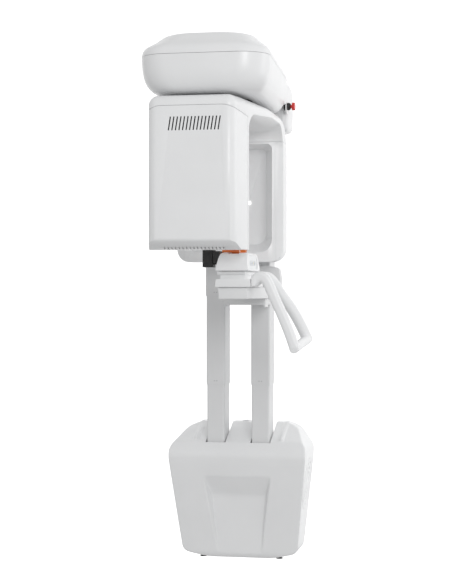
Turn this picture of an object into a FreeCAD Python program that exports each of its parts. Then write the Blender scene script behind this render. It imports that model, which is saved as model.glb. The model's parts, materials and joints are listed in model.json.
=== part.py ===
"""Wall-mounted panoramic X-ray machine, in millimetres.

X runs to the right of someone facing the machine, Y towards the wall and Z up.
The origin is the centre of the wall plate's bolt pattern, on the wall.
"""
import FreeCAD, Part
import math
import os
import re
import Sketcher

V = FreeCAD.Vector
ORIGIN = V(0, 0, 0)
AXES = {"X": V(1, 0, 0), "Y": V(0, 1, 0), "Z": V(0, 0, 1)}

SIZES = {
    # wall plate and base
    "plate_width": 340, "plate_height": 380, "plate_thick": 6,
    "anchor_dx": 260, "anchor_dz": 300, "anchor_radius": 5.5,
    "cover_wall": 4, "base_depth": 256, "base_top": 260, "base_bottom": -266,
    "base_half_top": 172, "base_shoulder": 268, "base_half_bottom": 226,
    "recess_half_top": 138, "recess_half_bottom": 105, "recess_top": 80,
    "recess_floor": -188, "recess_floor_low": -171,
    "grille_radius": 100, "grille_thick": 5, "grille_y": -118, "grille_z": 30, "side_lean": 6.4,
    # columns: three nested stages each
    "column_pitch": 175, "column_y": -158, "column_corner": 7,
    "lower_width": 69, "lower_depth": 105, "lower_wall": 3,
    "stage_step": 4.8, "stage_wall": 1.9,
    "lower_bottom": 74, "lower_top": 900,
    "mid_bottom": 413.5, "mid_top": 1235,
    "upper_bottom": 754.6, "upper_top": 1536,
    "spindle_radius": 9, "notch_gap": 2.4,
    # column head and top module
    "head_half": 198, "head_seam": 1478, "head_top": 1592, "head_bottom": 1384,
    "head_front": -332, "head_low_front": -228, "head_back": -62,
    "module_right": 256, "module_left": -192, "module_back_right": 212, "module_back_left": -178,
    "module_corner": 100, "module_front": -1052, "module_back": -336,
    "module_bottom": 1434, "module_seam": 1560, "module_top": 1640,
    "module_wall": 4, "dome_opening": 150,
    # rotating arm
    "axis_y": -751, "belt_span": 200, "wheel_pitch": 66.4, "pulley_pitch": 16.4,
    "hub_radius": 60, "shaft_radius": 32, "shaft_bore": 32.06,
    "arm_wall": 3.5, "tube_front": -1052, "tube_shoulder": -952, "tube_inner": -905,
    "tube_half_flat": 145, "tube_half": 165, "tube_bottom": 912, "tube_face_bottom": 941,
    "tube_top": 1388, "seam_gap": 0.8, "hood_split": 1327, "hood_top": 1424, "hood_under": 1362,
    "hood_edge": 34, "rear_round": 150, "plan_knee": -640,
    "rear_half": 202, "rear_back": -256, "rear_rim": -400, "rear_panel": -292, "rear_bottom": 882,
    "bowl_half": 124, "bowl_rim_half": 166, "flare_grow": 32,
    # chin rest arm
    "chin_left": 44, "chin_right": 158, "chin_front": -870, "chin_back": -630,
    "chin_bottom": 842, "chin_top": 905, "tray_bottom": 787, "tray_top": 814,
    "block_bottom": 746, "rail_bottom": 722,
    "handle_width": 34, "handle_thick": 36, "handle_out": 316, "handle_low": 566,
    "temple_rest": 64, "temple_travel": 14,
    # controls
    "estop_radius": 15, "estop_y": -250, "estop_z": 1474,
    "key_size": 16, "key_pitch": 26, "key_z": 870, "laser_radius": 4.5, "laser_x": 59, "laser_z": 1107,
}

DOC = FreeCAD.newDocument("panoramic_xray_machine")
SHEET = DOC.addObject("Spreadsheet::Sheet", "Sizes")
for row, (alias, value) in enumerate(SIZES.items(), start=1):
    SHEET.set(f"A{row}", alias)
    SHEET.set(f"B{row}", str(value))
    SHEET.setAlias(f"B{row}", alias)
DOC.recompute()

NODES = []


def size(alias):
    """A driving dimension, read from the sheet."""
    return float(getattr(SHEET, alias))


def formula(text):
    """Turn sheet aliases in a formula into references to the sheet."""
    return re.sub(r"[a-z]\w*", lambda m: "Sizes." + m.group() if m.group() in SIZES else m.group(), str(text))


def bind(item, **formulas):
    """Bind properties to formulas of the sheet's aliases; px, py and pz are the placement."""
    short = {"px": "Placement.Base.x", "py": "Placement.Base.y", "pz": "Placement.Base.z"}
    for name, text in formulas.items():
        item.setExpression(short.get(name, name), formula(text))
    return item


def node(item, label):
    """Name a finished sub-part and list it for writing."""
    item.Label = label
    NODES.append(item)
    return item


def turned(axis):
    """Rotation that carries +Z onto the given axis letter."""
    return FreeCAD.Rotation(V(0, 0, 1), AXES[axis])


# ---------------------------------------------------------------- parametric primitives

def box(name, dx, dy, dz, px, py, pz):
    """Box centred on px and py, standing on pz."""
    item = DOC.addObject("Part::Box", name)
    return bind(item, Length=dx, Width=dy, Height=dz,
                px=f"{px} - ({dx}) / 2", py=f"{py} - ({dy}) / 2", pz=pz)


def rod(name, radius, height, px, py, pz, axis="Z"):
    """Cylinder from a point along an axis."""
    item = DOC.addObject("Part::Cylinder", name)
    item.Placement = FreeCAD.Placement(ORIGIN, turned(axis))
    return bind(item, Radius=radius, Height=height, px=px, py=py, pz=pz)


def cone(name, radius, tip_radius, height, px, py, pz, axis="Z"):
    """Truncated cone from a point along an axis."""
    item = DOC.addObject("Part::Cone", name)
    item.Placement = FreeCAD.Placement(ORIGIN, turned(axis))
    return bind(item, Radius1=radius, Radius2=tip_radius, Height=height, px=px, py=py, pz=pz)


def fuse(name, *items):
    """One solid or a group from several items."""
    item = DOC.addObject("Part::MultiFuse", name)
    item.Shapes = list(items)
    return item


def cut(name, base, *tools):
    """Base minus tools."""
    item = DOC.addObject("Part::Cut", name)
    item.Base = base
    item.Tool = tools[0] if len(tools) == 1 else fuse(name + "Tools", *tools)
    return item


def group(name, *items):
    """Separate solids that share one node."""
    item = DOC.addObject("Part::Compound", name)
    item.Links = list(items)
    return item


# ---------------------------------------------------------------- sketched bodies

def new_body(label):
    return DOC.addObject("PartDesign::Body", label)


def plane_of(body, role):
    return next(plane for plane in body.Origin.OriginFeatures if plane.Role == role)


def new_sketch(body, name, role):
    """Sketch on one of the body's origin planes."""
    sketch = body.newObject("Sketcher::SketchObject", name)
    sketch.AttachmentSupport = (plane_of(body, role), "")
    sketch.MapMode = "FlatFace"
    return sketch


def add_rectangle(sketch, width, height):
    """Rectangle centred on the sketch's origin, sizes bound to the sheet."""
    corners = [V(-10, -10, 0), V(10, -10, 0), V(10, 10, 0), V(-10, 10, 0)]
    first = sketch.GeometryCount
    for start, end in zip(corners, corners[1:] + corners[:1]):
        sketch.addGeometry(Part.LineSegment(start, end), False)
    for step in range(4):
        here, after = first + step, first + (step + 1) % 4
        sketch.addConstraint(Sketcher.Constraint("Coincident", here, 2, after, 1))
        kind = "Horizontal" if step % 2 == 0 else "Vertical"
        sketch.addConstraint(Sketcher.Constraint(kind, here))
    sketch.addConstraint(Sketcher.Constraint("Symmetric", first, 1, first + 2, 1, -1, 1))
    across = sketch.addConstraint(Sketcher.Constraint("DistanceX", first, 1, first, 2, 20))
    sketch.setExpression(f"Constraints[{across}]", formula(width))
    along = sketch.addConstraint(Sketcher.Constraint("DistanceY", first + 1, 1, first + 1, 2, 20))
    sketch.setExpression(f"Constraints[{along}]", formula(height))


def add_circle(sketch, radius, x, y):
    """Circle at a place measured from the sketch's origin, sizes bound to the sheet."""
    index = sketch.addGeometry(Part.Circle(V(5, 5, 0), V(0, 0, 1), 3), False)
    bore = sketch.addConstraint(Sketcher.Constraint("Radius", index, 3))
    sketch.setExpression(f"Constraints[{bore}]", formula(radius))
    for kind, text in (("DistanceX", x), ("DistanceY", y)):
        place = sketch.addConstraint(Sketcher.Constraint(kind, -1, 1, index, 3, 5))
        sketch.setExpression(f"Constraints[{place}]", formula(text))


def pad(body, sketch, length):
    feature = body.newObject("PartDesign::Pad", "Pad")
    feature.Profile = sketch
    bind(feature, Length=length)
    DOC.recompute()
    return feature


def pocket_through(body, sketch):
    """Pocket through everything, both ways, with proof that it removes material."""
    before = body.Shape.Volume
    feature = body.newObject("PartDesign::Pocket", "Pocket")
    feature.Profile = sketch
    feature.Type = "ThroughAll"
    feature.Midplane = True
    DOC.recompute()
    assert body.Shape.Volume < before, sketch.Name
    return feature


def round_upright_edges(body, radius):
    """Fillet the edges that run along the body's Z."""
    last = body.Tip
    names = [f"Edge{index}" for index, edge in enumerate(last.Shape.Edges, start=1)
             if isinstance(edge.Curve, Part.Line) and abs(edge.tangentAt(edge.FirstParameter).z) > 0.99]
    feature = body.newObject("PartDesign::Fillet", "Fillet")
    feature.Base = (last, names)
    bind(feature, Radius=radius)
    DOC.recompute()


def tube(label, width, depth, wall, corner, px, py, bottom, top):
    """Upright rectangular tube with rounded corners."""
    body = new_body(label)
    outline = new_sketch(body, label + "Outline", "XY_Plane")
    add_rectangle(outline, width, depth)
    pad(body, outline, f"{top} - ({bottom})")
    bore = new_sketch(body, label + "Bore", "XY_Plane")
    add_rectangle(bore, f"{width} - 2 * ({wall})", f"{depth} - 2 * ({wall})")
    pocket_through(body, bore)
    round_upright_edges(body, corner)
    bind(body, px=px, py=py, pz=bottom)
    return node(body, label)


# ---------------------------------------------------------------- shaped solids

def on_plane(plane, u, v, level=0.0):
    if plane == "XY":
        return V(u, v, level)
    if plane == "XZ":
        return V(u, level, v)
    return V(level, u, v)


def outline(points, plane, level=0.0):
    """Closed wire through (u, v, radius) corners, each rounded by a tangent arc."""
    places = [on_plane(plane, u, v, level) for u, v, _ in points]
    edges, ends = [], []
    for index, here in enumerate(places):
        before, after = places[index - 1], places[(index + 1) % len(places)]
        radius = points[index][2]
        if radius <= 0:
            ends.append((here, here, None))
            continue
        back, on = (before - here).normalize(), (after - here).normalize()
        half = back.getAngle(on) / 2
        reach = radius / math.tan(half)
        middle = here + (back + on).normalize() * (radius / math.sin(half) - radius)
        ends.append((here + back * reach, here + on * reach, middle))
    for index, (start, stop, middle) in enumerate(ends):
        if middle is not None:
            edges.append(Part.Arc(start, middle, stop).toShape())
        following = ends[(index + 1) % len(ends)][0]
        if stop.distanceToPoint(following) > 1e-4:
            edges.append(Part.LineSegment(stop, following).toShape())
    return Part.Wire(edges)


def prism(points, plane, low, high):
    """Solid between two levels of a rounded outline."""
    face = Part.Face(outline(points, plane, low))
    step = on_plane(plane, 0, 0, high - low)
    return face.extrude(step)


def mirrored(points):
    """Both halves of an outline whose points are given for positive u, from the top down."""
    return points + [(-u, v, radius) for u, v, radius in reversed(points)]


def softened(shape, radius, chosen):
    """Fillet the edges of a solid for which chosen(edge) holds."""
    solid = shape.Solids[0]
    return solid.makeFillet(radius, [edge for edge in solid.Edges if chosen(edge)])


def shaped(label, shape):
    """Sub-part whose shape is worked out from the sheet's sizes."""
    item = DOC.addObject("Part::Feature", label)
    item.Shape = shape.removeSplitter() if shape.ShapeType != "Compound" or len(shape.Solids) == 1 else shape
    item.Placement = FreeCAD.Placement()
    return node(item, label)


# ---------------------------------------------------------------- base

def base_block(inset):
    """Outside of the base shrunk by inset: front outline crossed with side outline."""
    top, bottom = size("base_top") - inset, size("base_bottom") + inset
    shoulder, low = size("base_shoulder") - inset, size("base_half_bottom") - inset
    crown = size("base_half_top") - inset * 0.5
    depth = size("base_depth") - inset
    front = mirrored([
        (crown, top, 20), (crown + 46, top - 16, 60), (shoulder, top - 90, 40), (shoulder - 2, top - 142, 60),
        (low, bottom + 28, 34), (low - 100, bottom + 4, 300)])
    side = [(inset and 1, bottom, 0), (-170, bottom, 50), (-(depth - 6), 110, 60), (-depth, top - 110, 50),
            (-(depth - 40), top - 58, 40), (inset and 1, top, 0)]
    return prism(front, "XZ", -400, 10).common(prism(side, "YZ", -400, 400))


def recess_tool(grow):
    """Wedge that hollows the base's front face, deepest at its lower end."""
    half_top, half_bottom = size("recess_half_top") + grow, size("recess_half_bottom") + grow
    top, bottom = size("recess_top") + grow, size("base_bottom") - 20
    outer = mirrored([(half_top, top, 24), (half_bottom, bottom, 0)])
    face, floor, low_floor = -size("base_depth"), size("recess_floor") + grow, size("recess_floor_low") + grow
    wedge = [(face - 60, top + 60, 0), (face - 60, bottom, 0), (low_floor, bottom, 0),
             (floor, top - 95, 70), (face - 8, top + 22, 0)]
    return prism(outer, "XZ", -420, 0).common(prism(wedge, "YZ", -400, 400))


def make_base_cover():
    wall, gap = size("cover_wall"), size("notch_gap")
    skin = base_block(0)
    hollow = base_block(wall)
    shell = skin.cut(recess_tool(0)).cut(hollow.cut(recess_tool(wall)))
    width = size("lower_width") + size("stage_step") + 2 * gap
    front = size("column_y") - (size("lower_depth") + size("stage_step")) / 2 - gap
    for side in (-1, 1):
        x = side * size("column_pitch") / 2
        slot = Part.makeBox(width, -front + 20, 160, V(x - width / 2, front, 130))
        shell = shell.cut(slot)
        place, outward = grille_place(side)
        disc = Part.makeCylinder(size("grille_radius"), 60, place - outward * 40, outward)
        shell = shell.cut(disc)
    for side in (-1, 1):
        port = Part.makeCylinder(9.5, 60, V(side * 150, -140, size("base_bottom") - 20), V(0, 0, 1))
        shell = shell.cut(port)
    shell = shell.cut(Part.makeBox(44.6, 30.6, 60, V(-22.3, -95.3, size("base_bottom") - 20)))
    shell = shell.cut(Part.makeBox(20.6, 28.6, 60, V(49.7, -94.3, size("base_bottom") - 20)))
    shaped("base_cover", shell)


def grille_place(side):
    """Centre of a side grille on the cover's leaning side, and the direction it faces."""
    lean = math.radians(size("side_lean"))
    x = size("base_shoulder") - 2 - (118 - size("grille_z")) * math.tan(lean)
    return V(side * x, size("grille_y"), size("grille_z")), V(side * math.cos(lean), 0, -math.sin(lean))


def make_side_grille(label, side):
    """Round grille of concentric rings on three spokes, set in the cover's side."""
    radius, thick = size("grille_radius") - 0.5, size("grille_thick")
    place, outward = grille_place(side)
    rings = []
    steps = 4
    for step in range(steps + 1):
        outer = radius * (1 - 0.2 * step)
        ring = Part.makeCylinder(outer, thick, place - outward * thick, outward)
        if step < steps:
            ring = ring.cut(Part.makeCylinder(outer - 15, thick, place - outward * thick, outward))
        rings.append(ring)
    for turn in range(3):
        spoke = Part.makeBox(8, radius - 6, thick, V(-4, 0, -thick))
        spoke.rotate(ORIGIN, AXES["Z"], 120 * turn)
        spoke.Placement = FreeCAD.Placement(place, FreeCAD.Rotation(AXES["Z"], outward)) * spoke.Placement
        rings.append(spoke)
    shaped(label, rings[0].multiFuse(rings[1:]))


def make_base():
    body = new_body("WallPlate")
    face = new_sketch(body, "PlateOutline", "XZ_Plane")
    add_rectangle(face, "plate_width", "plate_height")
    pad(body, face, "plate_thick")
    holes = new_sketch(body, "AnchorHoles", "XZ_Plane")
    for x in (-1, 1):
        for z in (-1, 1):
            add_circle(holes, "anchor_radius", f"{x} * anchor_dx / 2", f"{z} * anchor_dz / 2")
    pocket_through(body, holes)
    node(body, "wall_plate")

    back = box("ChassisBack", "plate_width + 40", 3, "plate_height + 20", 0, "-plate_thick - 1.5", -225)
    shelf = box("ChassisShelf", "plate_width + 40", 140, 4, 0, "-plate_thick - 70", -229)
    flanges = [box(f"ChassisFlange{side}", 3, 40, "plate_height", f"{side} * (plate_width / 2 + 18)",
                   "-plate_thick - 20", -225) for side in (-1, 1)]
    feet = [box(f"ColumnFoot{side}", "lower_width + 6", "lower_depth / 2 - column_y - plate_thick", 6,
                f"{side} * column_pitch / 2", "(column_y - lower_depth / 2 - plate_thick) / 2",
                "lower_bottom - 6") for side in (-1, 1)]
    bores = [rod(f"FootBore{side}", 24.5, 20, f"{side} * column_pitch / 2", "column_y", "lower_bottom - 10")
             for side in (-1, 1)]
    node(cut("Chassis", fuse("ChassisParts", back, shelf, *flanges, *feet), *bores), "base_chassis")

    make_base_cover()
    make_side_grille("side_grille_left", -1)
    make_side_grille("side_grille_right", 1)

    motors, spindles = [], []
    for side in (-1, 1):
        x = f"{side} * column_pitch / 2"
        motors.append(fuse(f"Motor{side}",
                           rod(f"MotorCan{side}", 24, 80, x, "column_y", "lower_bottom - 70"),
                           rod(f"Gearhead{side}", 18, 40, x, "column_y", "lower_bottom + 10")))
        spindles.append(rod(f"Spindle{side}", "spindle_radius", "lower_top - lower_bottom - 60",
                            x, "column_y", "lower_bottom + 50"))
    node(group("LiftDrives", *motors, *spindles), "lift_drives")

    supply = fuse("Supply", box("SupplyCase", 90, 60, 130, 0, -50, -225),
                  box("SupplyFins", 70, 10, 100, 0, -85, -215))
    node(supply, "power_supply")
    board = fuse("Board", box("BoardSheet", 130, 2, 110, 0, -22, -60),
                 box("BoardChipA", 30, 12, 30, -30, -29, -30),
                 box("BoardChipB", 40, 20, 24, 30, -33, 10))
    standoffs = [rod(f"Standoff{x}{z}", 3, 12.5, x, -21.5, z, "Y") for x in (-55, 55) for z in (-50, 40)]
    node(fuse("ControlBoard", board, *standoffs), "control_board")

    inlet = cut("Inlet", box("InletBody", 44, 30, 34, 0, -80, "base_bottom"),
                box("InletMouth", 26, 18, 20, 0, -80, "base_bottom"))
    pins = [box(f"InletPin{x}", 2, 4, 16, x, -80, "base_bottom + 4.5") for x in (-7, 0, 7)]
    glands = [fuse(f"Gland{side}", rod(f"GlandNeck{side}", 9, 14, f"{side} * 150", -140, "base_bottom + 8"),
                   rod(f"GlandCap{side}", 13, 3, f"{side} * 150", -140, "base_bottom + 4"))
              for side in (-1, 1)]
    node(group("CableGlands", *glands), "cable_glands")
    rocker_bezel = cut("RockerBezel", box("RockerFrame", 20, 28, 26, 60, -80, "base_bottom"),
                       box("RockerMouth", 15, 23, 22, 60, -80, "base_bottom"),
                       rod("RockerBore", 2.8, 18, "60 - 9", -80, "base_bottom + 10.5", "X"))
    node(group("MainsInlet", inlet, *pins, rocker_bezel), "mains_inlet")
    rocker = DOC.addObject("Part::Prism", "RockerCap")
    rocker.Polygon = 8
    rocker.Placement = FreeCAD.Placement(ORIGIN, turned("X"))
    bind(rocker, Circumradius=9.6, Height=13.4, px="60 - 6.7", py=-80, pz="base_bottom + 10.5")
    pivot = rod("RockerPivot", 2.5, 17, "60 - 8.5", -80, "base_bottom + 10.5", "X")
    node(fuse("Rocker", rocker, pivot), "mains_rocker")

    clip = cut("Clip", box("ClipPlate", 26, 34, 4, 0, -26, "base_top - 1.6"),
               box("ClipSlot", 12, 24, 10, 0, -22, "base_top - 4"))
    node(clip, "top_clip")


# ---------------------------------------------------------------- columns

def make_columns():
    """Two columns of three nested tubes; the widest tube of each is the top one."""
    for side, name in ((-1, "left"), (1, "right")):
        x = f"{side} * column_pitch / 2"
        tube(f"column_lower_{name}", "lower_width", "lower_depth", "lower_wall", "column_corner",
             x, "column_y", "lower_bottom", "lower_top")
        tube(f"column_mid_{name}", "lower_width + stage_step", "lower_depth + stage_step", "stage_wall",
             "column_corner", x, "column_y", "mid_bottom", "mid_top")
        tube(f"column_upper_{name}", "lower_width + 2 * stage_step", "lower_depth + 2 * stage_step",
             "stage_wall", "column_corner", x, "column_y", "upper_bottom", "upper_top")
        bridge = box(f"NutBridge{name}", "lower_width + stage_step - 4", 14, 12,
                     x, "column_y", "mid_top - 30")
        strut = rod(f"NutTube{name}", 16, 460, x, "column_y", "mid_top - 470")
        bore = rod(f"NutBore{name}", "spindle_radius + 0.5", 420, x, "column_y", "mid_top - 480")
        node(cut(f"NutAssembly{name}", fuse(f"NutBody{name}", bridge, strut), bore), f"lift_nut_{name}")


# ---------------------------------------------------------------- column head and top module

def module_outline(inset, wall):
    """Plan of the top module: broad rounded front, slightly narrower straight back."""
    front, back, corner = size("module_front") + inset, size("module_back") - wall, size("module_corner")
    right, left = size("module_right") - inset, size("module_left") + inset
    back_right, back_left = size("module_back_right") - inset, size("module_back_left") + inset
    return [(right, front, corner), (back_right, back, 24), (back_left, back, 24), (left, front, corner)]


def module_slab(wall, inset, shrink, low, high):
    """Layer of the module whose outline shrinks from inset by shrink, inside a wall."""
    wide = outline(module_outline(wall + inset, wall), "XY", low)
    narrow = outline(module_outline(wall + inset + shrink, wall), "XY", high)
    return Part.makeLoft([wide, narrow], True, True)


def make_module():
    wall, seam = size("module_wall"), size("module_seam")
    bottom, top = size("module_bottom"), size("module_top")
    lid = [(seam, 0), (seam + 26, 8), (seam + 50, 36), (top, 72)]
    arm_top = size("upper_top") + 34
    slot = Part.makeBox(156, 60, arm_top - bottom, V(-78, size("module_back") - 30, bottom))
    shaped("module_lid", module_stack(0, lid).cut(module_stack(wall, lid)).cut(slot))
    tub = [(seam - 1, 0), (bottom + 66, 5), (bottom + 24, 18), (bottom, 54)]
    opening = Part.makeCylinder(size("dome_opening"), 60, V(0, size("axis_y"), bottom - 20))
    mouth = Part.makeBox(300, 60, 100, V(-150, size("module_back") - 30, bottom + 14))
    shell = module_stack(0, tub).cut(module_stack(wall, tub))
    shaped("module_body", shell.cut(opening).cut(mouth).cut(slot))


def module_stack(wall, levels):
    """Module form through (level, inset) pairs; a wall moves it inside, except at its open first level."""
    step = 1 if levels[-1][0] > levels[0][0] else -1
    slabs = []
    for index in range(len(levels) - 1):
        (low, inset), (high, end) = levels[index], levels[index + 1]
        low -= step * (wall if index else 0)
        high -= step * wall
        slabs.append(module_slab(wall, inset, end - inset, low, high))
    return slabs[0].multiFuse(slabs[1:])


def head_outline(inset, front):
    half, back = size("head_half") - inset, size("head_back") - inset
    return [(half, front + inset, 24), (half, back, 40), (-half, back, 40), (-half, front + inset, 24)]


def head_slab(inset, low, high, shrink, front):
    wide = outline(head_outline(inset, front), "XY", low)
    narrow = outline(head_outline(inset + shrink, front), "XY", high)
    return Part.makeLoft([wide, narrow], True, True)


def make_head():
    """Housing that caps the two columns and carries the top module's arm."""
    wall, seam = size("module_wall"), size("head_seam")
    low, high = size("head_bottom"), size("head_top")
    front, low_front = size("head_front"), size("head_low_front")
    upper = head_slab(0, seam, high - 40, 4, front).fuse(head_slab(4, high - 40, high, 30, front))
    room = head_slab(wall, seam, high - 40, 4, front)
    room = room.fuse(head_slab(4 + wall, high - 40, high - wall, 30, front))
    room = room.cut(Part.makeBox(500, low_front - front - 1, wall, V(-250, front, seam)))
    mouth = Part.makeBox(296, 60, 96, V(-148, front - 20, seam + 8))
    half, estop_y = size("head_half"), size("estop_y")
    ear = prism([(estop_y - 26, seam + 2, 0), (estop_y - 26, seam - 28, 20), (low_front - 1, seam - 28, 8),
                 (low_front - 1, seam + 2, 0)], "YZ", half - wall, half)
    estop_hole = Part.makeCylinder(10.3, 30, V(half - 20, estop_y, size("estop_z")), V(1, 0, 0))
    nut_room = Part.makeCylinder(15.4, 20, V(half - 24.4, estop_y, size("estop_z")), V(1, 0, 0))
    shaped("head_upper_cover", upper.cut(room).cut(mouth).fuse(ear).cut(estop_hole).cut(nut_room))
    lower = head_slab(0, seam - 1, low + 26, 4, low_front).fuse(head_slab(4, low + 26, low, 18, low_front))
    lower = lower.cut(head_slab(wall, seam - 1, low + 26, 4, low_front))
    lower = lower.cut(head_slab(4 + wall, low + 26, low + wall, 16, low_front))
    width = size("lower_width") + 2 * size("stage_step") + 1
    depth = size("lower_depth") + 2 * size("stage_step") + 1
    for side in (-1, 1):
        x = side * size("column_pitch") / 2
        corner = V(x - width / 2, size("column_y") - depth / 2, low - 20)
        lower = lower.cut(Part.makeBox(width, depth, 60, corner))
    shaped("head_lower_cover", lower)

    plate = box("HeadPlate", 330, 130, 12, 0, "column_y", "upper_top")
    ribs = [box(f"HeadRib{side}", 10, 120, 60, f"{side} * 40", "column_y", "upper_top - 60")
            for side in (-1, 1)]
    node(fuse("HeadBracket", plate, *ribs), "head_bracket")


def make_drive():
    """Top arm, turning bearing, motor, pulley and belt inside the module."""
    arm = fuse("TopArmParts",
               box("TopArmBar", 150, "-axis_y - 150", 20, 0, "(axis_y - 150) / 2 - 5", "upper_top + 12"),
               rod("TopArmSeat", 96, 20, 0, "axis_y", "upper_top + 12"))
    arm_bore = rod("TopArmBore", "hub_radius + 16", 60, 0, "axis_y", "upper_top - 10")
    node(cut("TopArm", arm, arm_bore), "top_arm")
    ring = cut("Ring", rod("RingOuter", 92, 30, 0, "axis_y", "upper_top - 18"),
               rod("RingBore", "shaft_bore", 60, 0, "axis_y", "upper_top - 30"))
    node(ring, "slewing_bearing")
    motor = fuse("RotationMotorParts",
                 box("RotationMotorCan", 60, 60, 62, 0, "axis_y + belt_span", "upper_top - 50.2"),
                 rod("RotationMotorBoss", 19, 8, 0, "axis_y + belt_span", "upper_top - 58.2"))
    motor_bore = rod("MotorShaftBore", 5.06, 30, 0, "axis_y + belt_span", "upper_top - 59")
    node(cut("RotationMotor", motor, motor_bore), "rotation_motor")
    pulley = fuse("PulleyParts", rod("PulleyDrum", 16, 14, 0, "axis_y + belt_span", "upper_top - 82"),
                  rod("PulleyFlange", 19, 2, 0, "axis_y + belt_span", "upper_top - 84"),
                  rod("PulleyShaft", 5, 26, 0, "axis_y + belt_span", "upper_top - 84"))
    node(pulley, "motor_pulley")


def belt_loop(grow):
    """Line of the belt round its two wheels, moved outwards by grow."""
    axis, span = size("axis_y"), size("belt_span")
    large, little = size("wheel_pitch") + grow, size("pulley_pitch") + grow
    level = size("upper_top") - 80
    lean = math.asin((large - little) / span)
    across, along = math.cos(lean), math.sin(lean)
    near = V(large * across, axis + large * along, level)
    far = V(little * across, axis + span + little * along, level)
    near_left, far_left = V(-near.x, near.y, level), V(-far.x, far.y, level)
    return Part.Wire([Part.LineSegment(near, far).toShape(),
                      Part.Arc(far, V(0, axis + span + little, level), far_left).toShape(),
                      Part.LineSegment(far_left, near_left).toShape(),
                      Part.Arc(near_left, V(0, axis - large, level), near).toShape()])


def make_belt():
    """Toothed belt round the motor pulley and the arm's large wheel."""
    rise = V(0, 0, 10)
    outside = Part.Face(belt_loop(2)).extrude(rise)
    shaped("drive_belt", outside.cut(Part.Face(belt_loop(0)).extrude(rise)))


# ---------------------------------------------------------------- rotating arm

def arm_plan(inset):
    """Plan of the whole rotating arm: softly bevelled tube side, wide detector side with plain corners."""
    front, shoulder = size("tube_front") + inset, size("tube_shoulder") + inset * 0.4
    flat, wide = size("tube_half_flat") - inset * 0.7, size("tube_half") - inset
    rear, back = size("rear_half") - inset, size("rear_back") - inset
    half = [(rear, back, 0), (rear, size("plan_knee"), 160), (wide, shoulder, 60), (flat, front, 34)]
    return half + [(-u, v, radius) for u, v, radius in reversed(half)]


def tube_side(inset):
    """Side view of the tube housing."""
    front, inner = size("tube_front") + inset, size("tube_inner") - inset
    low, edge = size("tube_bottom") + inset, size("tube_face_bottom") + inset * 0.5
    return [(inner, low, 10), (front + 62, low, 16), (front, edge, 14),
            (front, size("hood_top"), 0), (inner, size("hood_top"), 0)]


def hood_block(inset, low):
    """Upper end of the rotating arm above a level, with a soft upper edge."""
    top, front, back = size("hood_top") - inset, size("tube_front") - 20, size("rear_back") - inset
    turn, foot = back - size("rear_round") + inset, size("rear_bottom") - 60
    side = [(front, foot, 0), (front, top, 0), (back, top, back - turn), (back, foot, 0)]
    block = prism(arm_plan(inset), "XY", foot, top).common(prism(side, "YZ", -260, 260))

    def outer(edge):
        bounds = edge.BoundBox
        upper = bounds.ZMin > top - 1 and (bounds.YLength > 1 or bounds.YMin < front + 60)
        return upper or (bounds.XLength < 0.1 and bounds.YMax > turn + 1 and bounds.ZMax > foot + 1)

    return softened(block, size("hood_edge") - inset, outer).common(slab("Z", low, 1500))


def tunnel(grow):
    """Space between the housings, open to both sides, with a rounded ceiling."""
    inner, rim = size("tube_inner") - grow, size("rear_rim") + grow
    ceiling, low = size("hood_under") + grow, size("rear_bottom") - 60
    return prism([(inner, low, 0), (rim, low, 0), (rim, ceiling, 34), (inner, ceiling, 34)], "YZ", -260, 260)


def flares(wall):
    """Slanted bands that widen the tunnel's mouths on both sides, grown by a wall."""
    inner, rim = size("tube_inner") - wall, size("rear_rim") + wall
    ceiling, low = size("hood_under") + wall, size("rear_bottom") - 60
    start, grow = size("rear_half") - 52, size("flare_grow")
    bands = []
    for side in (-1, 1):
        small = outline([(inner, low, 0), (rim, low, 0), (rim, ceiling, 34), (inner, ceiling, 34)],
                        "YZ", side * start)
        wide = outline([(inner - grow, low, 0), (rim + grow, low, 0), (rim + grow, ceiling + grow, 120),
                        (inner - grow, ceiling + grow, 140)], "YZ", side * (start + 66))
        bands.append(Part.makeLoft([small, wide], True, True))
    return bands


def without_passage(block, wall):
    """A block less the tunnel and its flared mouths, grown by a wall."""
    left, right = flares(wall)
    return block.cut(tunnel(wall)).cut(left).cut(right)


def bowl(grow):
    """Dished recess of the detector housing, narrower at its back."""
    rim, panel = size("rear_rim"), size("rear_panel") + grow
    ceiling, low = size("hood_split") - 8 + grow, size("rear_bottom") + 34 - grow
    half_rim, half_back = size("bowl_rim_half") + grow, size("bowl_half") + grow
    mouth = outline([(half_rim, low, 52), (half_rim, ceiling, 20),
                     (-half_rim, ceiling, 20), (-half_rim, low, 52)], "XZ", rim - 2)
    back = outline([(half_back, low + 34, 40), (half_back, ceiling - 10, 20),
                    (-half_back, ceiling - 10, 20), (-half_back, low + 34, 40)], "XZ", panel)
    return Part.makeLoft([mouth, back], True, True)


def slab(plane, low, high, reach=1500):
    """Everything between two levels along one axis."""
    span = high - low
    if plane == "Y":
        return Part.makeBox(2 * reach, span, 2 * reach, V(-reach, low, 0))
    return Part.makeBox(2 * reach, 2 * reach, span, V(-reach, -reach, low))


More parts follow.
